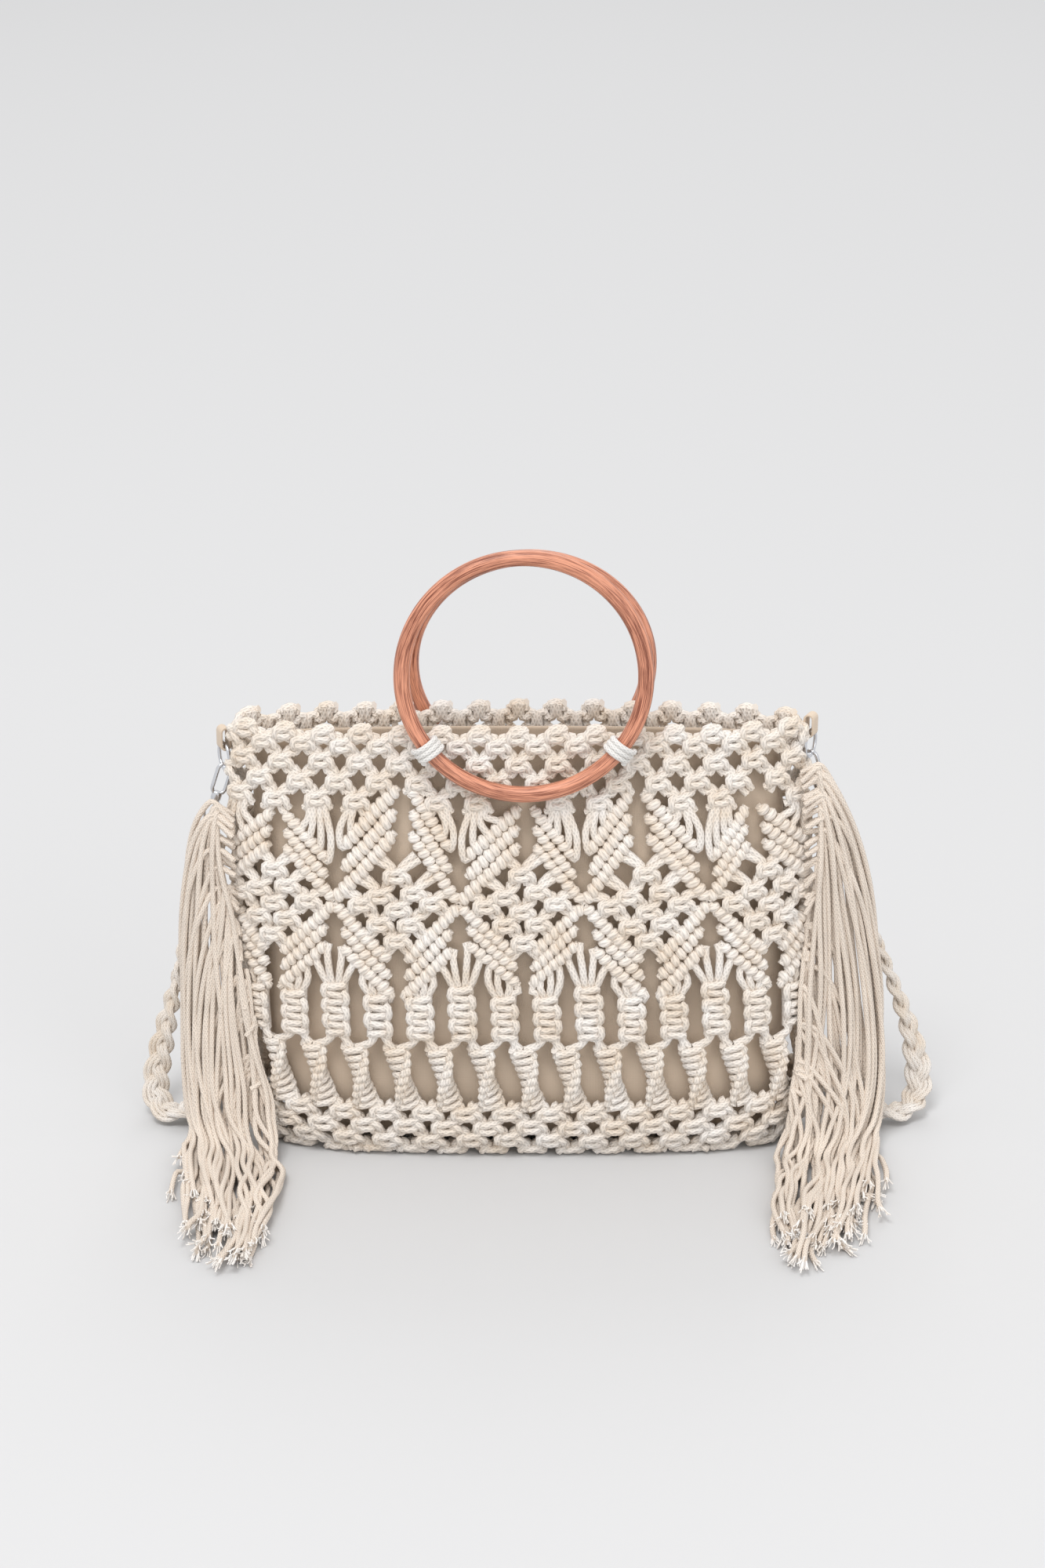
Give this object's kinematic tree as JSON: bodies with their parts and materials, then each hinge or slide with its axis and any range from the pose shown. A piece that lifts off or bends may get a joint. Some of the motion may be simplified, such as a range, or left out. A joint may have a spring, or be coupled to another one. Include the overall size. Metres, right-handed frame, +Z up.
{
  "type": "handbag",
  "caption": "Off-white macrame handbag with a canvas lining, round wooden ring handles, long side fringes and a braided shoulder strap.",
  "frame": {"origin": "middle of the flat underside of the knotted base, on the surface it stands on", "axes": "+Z up; the front panel faces -Y; +X to the right as seen from the front"},
  "size_m": [0.4799, 0.2689, 0.373],
  "materials": {
    "net_cotton": "matte",
    "wrap_cotton": "matte",
    "fringe_cotton": "matte",
    "strap_cotton": "matte",
    "lining_canvas": "matte",
    "handle_wood": "satin",
    "polished_chrome": "polished"
  },
  "bodies": {
    "root": {"front_net": "net_cotton", "back_net": "net_cotton", "base_net": "net_cotton", "lining": "lining_canvas", "front_handle_ring": "handle_wood", "back_handle_ring": "handle_wood", "front_left_wrap": "wrap_cotton", "front_right_wrap": "wrap_cotton", "back_left_wrap": "wrap_cotton", "back_right_wrap": "wrap_cotton", "left_fringe": "fringe_cotton", "right_fringe": "fringe_cotton", "left_tab": "lining_canvas", "right_tab": "lining_canvas", "left_chrome_ring": "polished_chrome", "right_chrome_ring": "polished_chrome", "left_snap_hook": "polished_chrome", "right_snap_hook": "polished_chrome", "shoulder_strap": "strap_cotton"}
  },
  "joints": []
}
